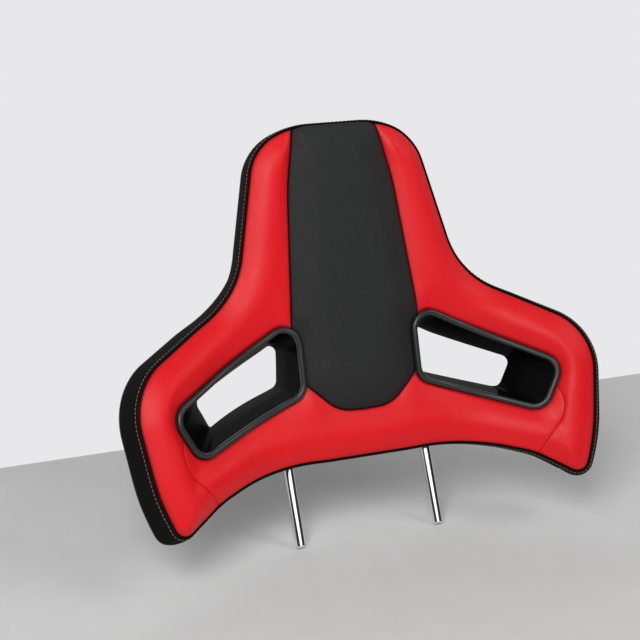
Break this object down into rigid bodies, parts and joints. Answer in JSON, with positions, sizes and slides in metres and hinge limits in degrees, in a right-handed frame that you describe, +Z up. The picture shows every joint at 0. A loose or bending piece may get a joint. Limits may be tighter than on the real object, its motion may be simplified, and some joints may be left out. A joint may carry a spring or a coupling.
{
  "type": "seat headrest with shoulder wings",
  "caption": "Upholstered sport-seat headrest that widens into two forward-curled shoulder wings with window openings, on chromed steel posts.",
  "frame": {"origin": "midway between the centres of the two posts' end faces, on the middle plane", "axes": "+Z up as the seat stands, -Y the way the pad's face looks, +X to the right as seen from the front"},
  "size_m": [0.5686, 0.2369, 0.4591],
  "materials": {
    "red_leather": "smooth satin, fine grain",
    "black_leather": "matte, pebbled grain",
    "gusset_leather": "matte, smooth",
    "foam": "moulded polyurethane foam, hidden under the covers",
    "bezel_plastic": "satin, dark grey",
    "tunnel_plastic": "matte black",
    "shell_plastic": "fine moulded grain, black",
    "carrier_plastic": "plain moulded, hidden",
    "retainer_plastic": "extruded strip, hidden",
    "chrome": "bright chrome plating on steel",
    "zinc_steel": "zinc plated, hidden",
    "black_steel": "black oxide screw heads"
  },
  "bodies": {
    "root": {"centre_panel": "black_leather", "lower_panel": "red_leather", "side_panel_right": "red_leather", "side_panel_left": "red_leather", "centre_foam": "foam", "bolster_foam": "foam", "gusset_upper": "gusset_leather", "gusset_lower": "gusset_leather", "retainer_upper": "retainer_plastic", "retainer_lower": "retainer_plastic", "window_bezel_right": "bezel_plastic", "window_bezel_left": "bezel_plastic", "window_tunnel_right": "tunnel_plastic", "window_tunnel_left": "tunnel_plastic", "carrier_plate": "carrier_plastic", "back_shell": "shell_plastic", "post_hoop": "chrome", "post_ferrule_right": "carrier_plastic", "post_ferrule_left": "carrier_plastic", "clamp_base_right": "zinc_steel", "clamp_base_left": "zinc_steel", "clamp_cap_right": "zinc_steel", "clamp_cap_left": "zinc_steel", "clamp_bolt_right_top": "zinc_steel", "clamp_bolt_right_bottom": "zinc_steel", "clamp_bolt_left_top": "zinc_steel", "clamp_bolt_left_bottom": "zinc_steel", "shell_screw_right_1": "black_steel", "shell_screw_right_2": "black_steel", "shell_screw_right_3": "black_steel", "shell_screw_right_4": "black_steel", "shell_screw_right_5": "black_steel", "shell_screw_left_1": "black_steel", "shell_screw_left_2": "black_steel", "shell_screw_left_3": "black_steel", "shell_screw_left_4": "black_steel", "shell_screw_left_5": "black_steel"}
  },
  "joints": []
}
